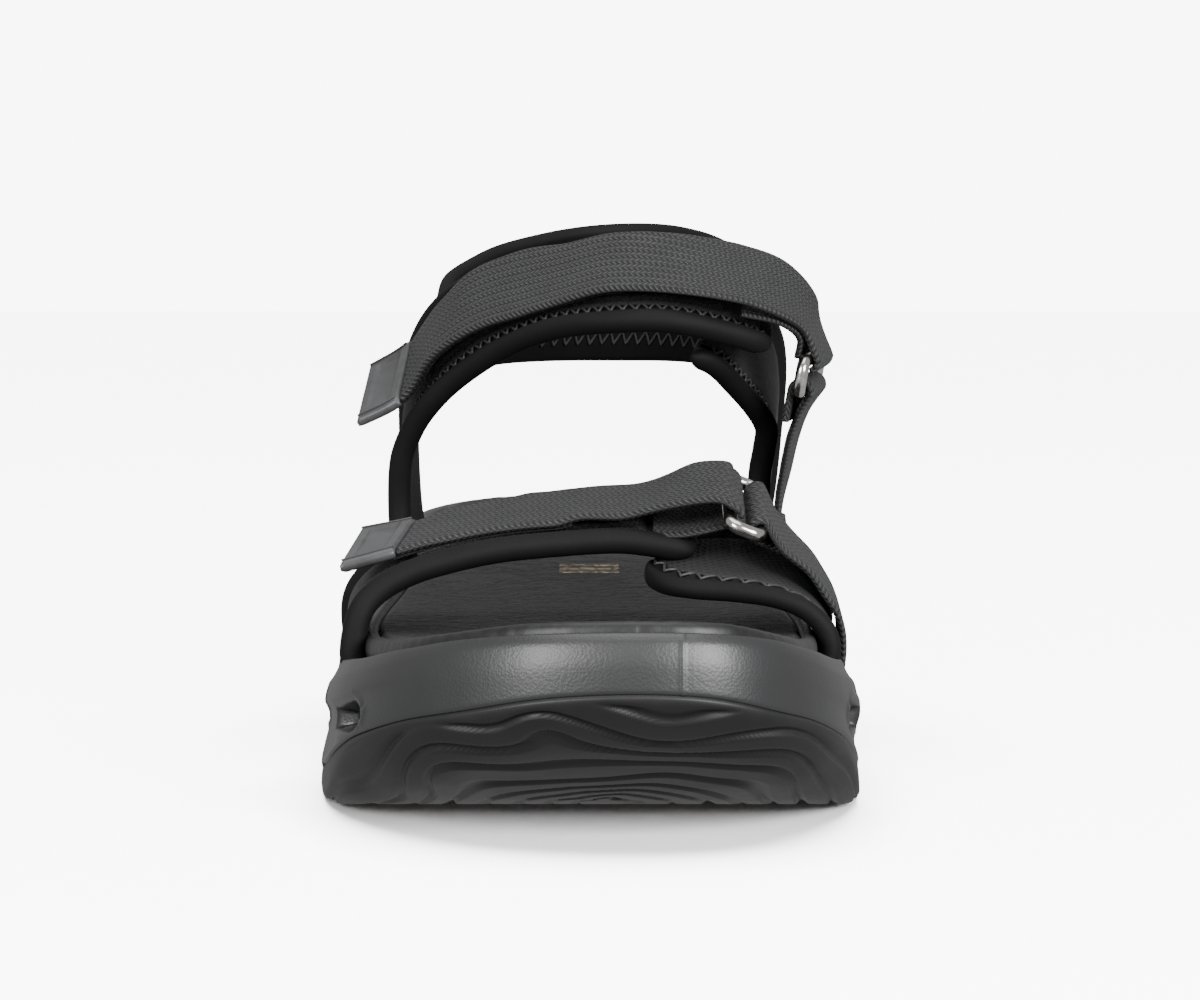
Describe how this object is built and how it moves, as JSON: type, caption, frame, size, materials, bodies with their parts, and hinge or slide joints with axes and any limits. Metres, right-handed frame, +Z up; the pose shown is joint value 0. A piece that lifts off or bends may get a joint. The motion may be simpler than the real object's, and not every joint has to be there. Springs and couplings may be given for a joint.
{
  "type": "strappy sport sandal",
  "caption": "Right-foot sport sandal: thick contoured sole with a bound footbed, padded forefoot, instep and heel bands, and hook-and-loop webbing straps through metal rings.",
  "frame": {"origin": "on the ground, under the centre of the sandal's bounding box", "axes": "+Z up, the toe towards -Y and the heel towards +Y, the big-toe side towards +X (a right-foot sandal)"},
  "size_m": [0.0992, 0.2678, 0.1032],
  "materials": {
    "outsole_rubber": "matt moulded rubber with curved wave ridges",
    "midsole_foam": "satin moulded foam with a fine leather-like grain",
    "shank_nylon": "moulded nylon",
    "insole_board": "pressed fibre board",
    "padding_foam": "soft open-cell foam",
    "footbed_leather": "dark grained lining leather with fine wrinkles",
    "footbed_binding": "smooth wrapped band, slightly glossy, puckered at the curves",
    "foil": "worn flat foil",
    "neoprene_lining": "smooth jersey-faced neoprene",
    "knit_cover": "woven grey-black cover, open mesh on the forefoot's big-toe side",
    "loop_pile": "fuzzy loop pile",
    "hook_tape": "hook tape",
    "webbing": "twill-woven webbing with slanted-thread selvedges",
    "thread": "sewing thread",
    "moulded_tab": "moulded tab with a raised stitched frame round a smooth panel",
    "ring_metal": "bright nickel-plated wire"
  },
  "bodies": {
    "root": {"outsole": "outsole_rubber", "midsole": "midsole_foam", "shank": "shank_nylon", "insole_board": "insole_board", "footbed_foam": "padding_foam", "footbed_cover": "footbed_leather", "footbed_binding": "footbed_binding", "footbed_foil_mark": "foil", "forefoot_lateral_lining": "neoprene_lining", "forefoot_lateral_foam": "padding_foam", "forefoot_lateral_cover": "knit_cover", "forefoot_medial_lining": "neoprene_lining", "forefoot_medial_foam": "padding_foam", "forefoot_medial_cover": "knit_cover", "instep_lateral_lining": "neoprene_lining", "instep_lateral_foam": "padding_foam", "instep_lateral_cover": "knit_cover", "instep_medial_lining": "neoprene_lining", "instep_medial_foam": "padding_foam", "instep_medial_cover": "knit_cover", "heel_strap_lining": "neoprene_lining", "heel_strap_foam": "padding_foam", "heel_strap_cover": "knit_cover", "forefoot_lateral_stitching": "thread", "forefoot_medial_stitching": "thread", "instep_lateral_stitching": "thread", "instep_medial_stitching": "thread", "forefoot_loop_strip": "loop_pile", "forefoot_webbing_lower": "webbing", "forefoot_ring_holder": "webbing", "instep_loop_strip": "loop_pile", "instep_webbing_lower": "webbing", "instep_ring_holder": "webbing"},
    "forefoot_ring": {"forefoot_ring": "ring_metal"},
    "forefoot_strap": {"forefoot_webbing_near": "webbing"},
    "forefoot_strap_end": {"forefoot_webbing_end": "webbing", "forefoot_hook_strip": "hook_tape", "forefoot_tip": "moulded_tab"},
    "instep_ring": {"instep_ring": "ring_metal"},
    "instep_strap": {"instep_webbing_near": "webbing"},
    "instep_strap_end": {"instep_webbing_end": "webbing", "instep_hook_strip": "hook_tape", "instep_tip": "moulded_tab"}
  },
  "joints": [
    {"name": "forefoot_ring_swivel", "type": "hinge", "parent": "root", "child": "forefoot_ring", "pos_m": [0.0319, -0.03692, 0.05059], "axis": [0, 0.9724, 0.2334], "range_deg": [0, 25]},
    {"name": "forefoot_strap_lift", "type": "hinge", "parent": "forefoot_ring", "child": "forefoot_strap", "pos_m": [0.026, -0.0375, 0.053], "axis": [0, 0.9724, 0.2334], "range_deg": [0, 95]},
    {"name": "forefoot_strap_peel", "type": "hinge", "parent": "forefoot_strap", "child": "forefoot_strap_end", "pos_m": [0.00606, -0.03756, 0.05301], "axis": [0.0349, 0.9778, 0.2067], "range_deg": [0, 60]},
    {"name": "instep_ring_swivel", "type": "hinge", "parent": "root", "child": "instep_ring", "pos_m": [0.04387, 0.03079, 0.07089], "axis": [0.158, 0.9872, 0.0197], "range_deg": [0, 25]},
    {"name": "instep_strap_lift", "type": "hinge", "parent": "instep_ring", "child": "instep_strap", "pos_m": [0.0449, 0.0305, 0.0772], "axis": [0.158, 0.9872, 0.0197], "range_deg": [0, 95]},
    {"name": "instep_strap_peel", "type": "hinge", "parent": "instep_strap", "child": "instep_strap_end", "pos_m": [0.01614, 0.0156, 0.09692], "axis": [0.2754, 0.8716, 0.4054], "range_deg": [0, 60]}
  ]
}
